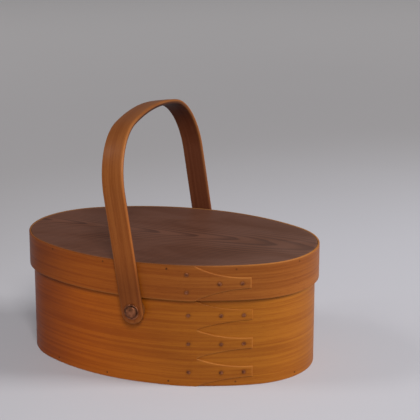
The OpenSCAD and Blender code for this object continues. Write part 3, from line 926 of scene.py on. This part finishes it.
def swing_handle():
    """The bent strip, laid flat as two feet and the stretch between them, then bent over the arch. Its faces
    lie half its thickness off the middle, crowned by a square law across and rounded at every border."""
    half = HANDLE_WIDTH / 2
    middle_rows = np.linspace(-half + STRIP_INSETS[-1], half - STRIP_INSETS[-1], 9)[1:-1]
    rows = np.concatenate([STRIP_INSETS - half, middle_rows, (half - STRIP_INSETS)[::-1]])
    foot = handle_foot(rows)
    far_foot = np.stack([HANDLE_LENGTH - foot[..., 0], -foot[..., 1]], -1)
    columns = np.linspace(FOOT_LENGTH, HANDLE_LENGTH - FOOT_LENGTH, HANDLE_POINTS)
    stretch = np.stack(np.meshgrid(columns, rows, indexing="ij"), -1)
    plan, faces = weld(foot, stretch, far_foot)
    along, across = plan.T
    from_end = np.minimum(along, HANDLE_LENGTH - along)
    from_border = np.where(from_end < half, half - np.hypot(half - from_end, across), half - np.abs(across))
    from_hole = np.hypot(from_end - FOOT_REACH, across) - PIVOT_HOLE_RADIUS
    fall = np.maximum(rounding(from_border, STRIP_EDGE_ROUND), rounding(from_hole, STRIP_HOLE_ROUND))
    above_foot = smooth_step(*FOOT_FLAT, from_end)
    crown = STRIP_CROWN * (across / half) ** 2 * above_foot
    uneven = STRIP_WAVER * (1 + np.sin(31 * along + 1.0) * np.cos(57 * along)) * above_foot
    off = HANDLE_THICKNESS / 2 - fall
    outer = along_handle(along, across, off - crown - uneven)
    inner = along_handle(along, across, -off + 0.6 * crown)
    solid, solid_faces = thicken(faces, outer, inner)
    worn = 1 - smooth_step(*STRIP_WEAR, from_border)
    gripped = 1 - smooth_step(*GRIPPED, np.abs(along - HANDLE_LENGTH / 2))
    # Painted shade on the legs above the feet, and hands' grime with painted shade on the inner face under
    # the crown
    on_leg = np.maximum(smooth_step(*LEG_DARKENS, from_end) - smooth_step(*LEG_CLEARS, from_end), 0)
    grime_and_shade = np.maximum(LEG_PAINTED_SHADE * on_leg, GRIP_GRIME * gripped)
    marks = {
        "worn": np.tile(WEAR_SHARE * worn * (1 - grime_and_shade), 2),
        "grime_and_shade": np.concatenate([grime_and_shade, np.maximum(grime_and_shade, INNER_GRIP_GRIME_AND_SHADE * gripped)]),
        "inner": np.repeat([0, 1], len(along)),
        # Redder at the feet and yellower towards the crown: partly painted light, the legs in shade and the
        # crown in the light
        "mellow_and_painted_light": np.tile(smooth_step(0, HANDLE_LENGTH / 2, from_end), 2),
    }
    return make_piece("swing_handle", solid, solid_faces, handle_wood, np.tile(plan, (2, 1)), marks)


stand_for(swing_handle(), "handle", "handle_wood", "handle")


# Pivots

# Marks on the pivots: rubbed edges, and grime round the rivets' heads
RING_WEAR = (0.1 * MM, 1.0 * MM)
RING_GRIME = 0.5
RING_GRIME_REACH = 1.2 * MM
HEAD_GRIME = (0.75, 1.0)
RIVET_SEED = 11


def turned_round(points, back):
    """Front points as they are, or turned half round the box's middle for the back."""
    return points * [-1, -1, 1] if back else points


def ring_plan(inner, outer, edge):
    """A flat ring round the pivot: circles from its hole to its border, close together near both."""
    angle = np.linspace(0, 2 * np.pi, RING_POINTS)
    near = np.array([0, 0.15, 0.4, 0.7, 1.0]) * edge
    between = np.linspace(inner + edge, outer - edge, 4)[1:-1]
    radius = np.concatenate([inner + near, between, outer - near[::-1]])[:, None]
    return weld(np.stack([radius * np.cos(angle), radius * np.sin(angle)], -1))


def pivot_ring(name, material, outer_radius, edge, front_face, back_face, back):
    """A washer, spacer or burr: a flat ring whose faces lie at distances from the box's middle, given as
    functions of x, with quarter circles at its border and hole."""
    plan, faces = ring_plan(PIVOT_HOLE_RADIUS, outer_radius, edge)
    x, up = plan.T
    radius = np.hypot(x, up)
    from_border = np.minimum(outer_radius - radius, radius - PIVOT_HOLE_RADIUS)
    fall = rounding(from_border, edge)
    front = np.column_stack([x, -(front_face(x) - fall), PIVOT[2] + up])
    rear = np.column_stack([x, -(back_face(x) + 0.5 * fall), PIVOT[2] + up])
    solid, solid_faces = thicken(faces, front, rear)
    grime_and_shade = RING_GRIME * (1 - smooth_step(0, RING_GRIME_REACH, radius - RIVET_HEAD_RADIUS))
    marks = {
        "worn": np.tile(1 - smooth_step(*RING_WEAR, from_border), 2),
        "grime_and_shade": np.tile(grime_and_shade, 2),
        "inner": np.zeros(2 * len(plan)),
        "mellow_and_painted_light": np.zeros(2 * len(plan)),
    }
    return make_piece(name, turned_round(solid, back), solid_faces, material, np.tile(plan, (2, 1)), marks)


def pivot_rivet(name, back, seed):
    """A hammered rivet, turned about the pivot: a domed head, a shank and a smaller headed end inside the
    wall. The heads are uneven by sines with chance phases."""
    chance = np.random.default_rng(seed)
    head_inside = -washer_low[1]
    tail_inside = -burr_high[1]
    dome = np.linspace(0, 1, 12) * np.pi / 2
    head_rise = RIVET_HEAD_LIP + (RIVET_HEAD_HEIGHT - RIVET_HEAD_LIP) * np.cos(dome)
    tail_rise = RIVET_TAIL_LIP + (RIVET_TAIL_HEIGHT - RIVET_TAIL_LIP) * np.sin(dome)
    profile = np.array([
        *zip(RIVET_HEAD_RADIUS * np.sin(dome), head_inside + head_rise),
        (0.985 * RIVET_HEAD_RADIUS, head_inside + RIVET_HEAD_UNDERCUT),
        (0.94 * RIVET_HEAD_RADIUS, head_inside + RIVET_SEAT),
        (RIVET_SHANK_RADIUS, head_inside + RIVET_SEAT),
        (RIVET_SHANK_RADIUS, tail_inside),
        (0.94 * RIVET_TAIL_RADIUS, tail_inside),
        (RIVET_TAIL_RADIUS, tail_inside - RIVET_TAIL_LIP),
        *zip(RIVET_TAIL_RADIUS * np.cos(dome[2:]), tail_inside - tail_rise[2:]),
    ])
    radius, depth = profile.T[..., None]
    angle = np.linspace(0, 2 * np.pi, RIVET_POINTS)
    phase = chance.uniform(0, 2 * np.pi, 3)
    uneven = 1 + 0.012 * np.sin(3 * angle + phase[0]) + 0.01 * np.sin(7 * angle + phase[1])
    swell = np.sin(np.pi * np.clip(radius / RIVET_HEAD_RADIUS, 0, 1))
    dent = HAMMER_DEPTH * (np.sin(4 * angle + phase[2]) * swell - 1)
    y = -(depth + np.where(depth > head_inside + HAMMERED_FROM, dent, 0))
    spread = radius * uneven
    solid = np.stack([spread * np.cos(angle), y, PIVOT[2] + spread * np.sin(angle)], -1)
    solid[0] = solid[0].mean(0)
    solid[-1] = solid[-1].mean(0)
    points, faces = weld(solid)
    out_of_middle = np.hypot(points[:, 0], points[:, 2] - PIVOT[2]) / RIVET_HEAD_RADIUS
    marks = {"grime_and_shade": smooth_step(*HEAD_GRIME, out_of_middle)}
    return make_piece(name, turned_round(points, back), faces, copper, None, marks)


def flat_at(distance):
    """A face at one distance from the box's middle."""
    return lambda x: np.full_like(x, distance)


def wall_at(radius):
    """A face that follows the long side's arc: the height of a circle over x, from the box's middle."""
    return lambda x: np.sqrt(radius**2 - x**2) - side_radius + HALF_WIDTH


pivot_rings = [
    ("washer", copper, "copper", washer_high[0], WASHER_EDGE,
     flat_at(-washer_low[1]), flat_at(-washer_high[1])),
    ("spacer", spacer_wood, "spacer_wood", spacer_high[0], SPACER_EDGE,
     flat_at(-spacer_low[1]), wall_at(side_radius)),
    ("burr", copper, "copper", burr_high[0], BURR_EDGE,
     wall_at(side_radius - WALL_THICKNESS - BURR_FIT), flat_at(-burr_high[1])),
]
for back, side in enumerate(("front", "back")):
    rivet = pivot_rivet(f"{side}_pivot_rivet", back, RIVET_SEED + back)
    stand_for(rivet, "box", "copper", f"{side}_rivet")
    for kind, material, slot, radius, edge, front_face, back_face in pivot_rings:
        ring = pivot_ring(f"{side}_pivot_{kind}", material, radius, edge, front_face, back_face, back)
        stand_for(ring, "box", slot, f"{side}_{kind}")


# Floor, light and camera

FRAME_PIXELS = 420
FOCAL_PIXELS = 1470
MIDDLE_PIXEL = (172.1, 291.2)
SENSOR = 36
VIEW_AZIMUTH = 21.6
VIEW_ELEVATION = 18.6
VIEW_DISTANCE = 1.38
NEAREST_SEEN = 0.01
FARTHEST_SEEN = 50

LAMP_SPREAD = math.radians(120)
LAMP_AIM = Vector((0, 0, 0.1))
TABLE_REACH = 6
STUDIO_TONE = (0.62, 0.62, 0.64, 1)
STUDIO_STRENGTH = 0.28


def direction(azimuth, elevation):
    """The way out to an azimuth, in degrees turned from the front to the right, and an elevation."""
    turn, rise = math.radians(azimuth), math.radians(elevation)
    return Vector((math.sin(turn) * math.cos(rise), -math.cos(turn) * math.cos(rise), math.sin(rise)))


def put_up(name, data, location, facing):
    """A camera or lamp at a location that faces a way."""
    stand = bpy.data.objects.new(name, data)
    stand.location = location
    stand.rotation_euler = facing.to_track_quat("-Z", "Y").to_euler()
    bpy.context.scene.collection.objects.link(stand)
    return stand


def photo_camera():
    """A camera that looks at the middle of the lidded box from the photograph's angle, and turns aside until
    that middle falls on its pixel."""
    middle = Vector((0, 0, lid_high[2] / 2))
    back = direction(VIEW_AZIMUTH, VIEW_ELEVATION)
    right = (-back).cross(Vector((0, 0, 1))).normalized()
    up = right.cross(-back)
    aside = (MIDDLE_PIXEL[0] - FRAME_PIXELS / 2) / FOCAL_PIXELS
    below = (MIDDLE_PIXEL[1] - FRAME_PIXELS / 2) / FOCAL_PIXELS
    data = bpy.data.cameras.new("photo_camera")
    data.sensor_width = SENSOR
    data.lens = FOCAL_PIXELS / FRAME_PIXELS * SENSOR
    data.clip_start = NEAREST_SEEN
    data.clip_end = FARTHEST_SEEN
    aim = -back - right * aside + up * below
    bpy.context.scene.camera = put_up("photo_camera", data, middle + back * VIEW_DISTANCE, aim)


def soft_lamp(name, azimuth, elevation, distance, size, power, tint):
    """A square soft lamp that faces the object from an azimuth and an elevation. A grid on it keeps its light
    off the floor below it."""
    back = direction(azimuth, elevation)
    data = bpy.data.lights.new(name, "AREA")
    data.shape = "SQUARE"
    data.size = size
    data.spread = LAMP_SPREAD
    data.energy = power
    data.color = tint
    put_up(name, data, LAMP_AIM + back * distance, -back)


def table_top():
    """A wide flat floor at the height that the box stands on."""
    edge = np.linspace(-TABLE_REACH, TABLE_REACH, 2)
    flat = np.stack(np.meshgrid(edge, edge, [0.0], indexing="ij"), -1)[:, :, 0]
    points, faces = weld(flat)
    paint = pale_floor(
        "pale_table", near=colour(200, 200, 208), middle=colour(173, 171, 174), far=colour(208, 206, 208))
    floor = make_piece("table_top", points, faces, paint)


photo_camera()
table_top()
soft_lamp("front_lamp", azimuth=27, elevation=38, distance=6, size=1.6, power=76.5, tint=(1.0, 0.98, 0.95))
soft_lamp("right_lamp", azimuth=102, elevation=28, distance=4.8, size=1.5, power=66, tint=(1.0, 0.99, 0.97))
soft_lamp("left_lamp", azimuth=-66, elevation=44, distance=6, size=1.6, power=26.5, tint=(1.0, 0.96, 0.92))

world = bpy.data.worlds.new("studio_grey")
world.use_nodes = True
world.node_tree.nodes["Background"].inputs["Color"].default_value = STUDIO_TONE
world.node_tree.nodes["Background"].inputs["Strength"].default_value = STUDIO_STRENGTH
bpy.context.scene.world = world
bpy.context.scene.view_settings.view_transform = "Standard"
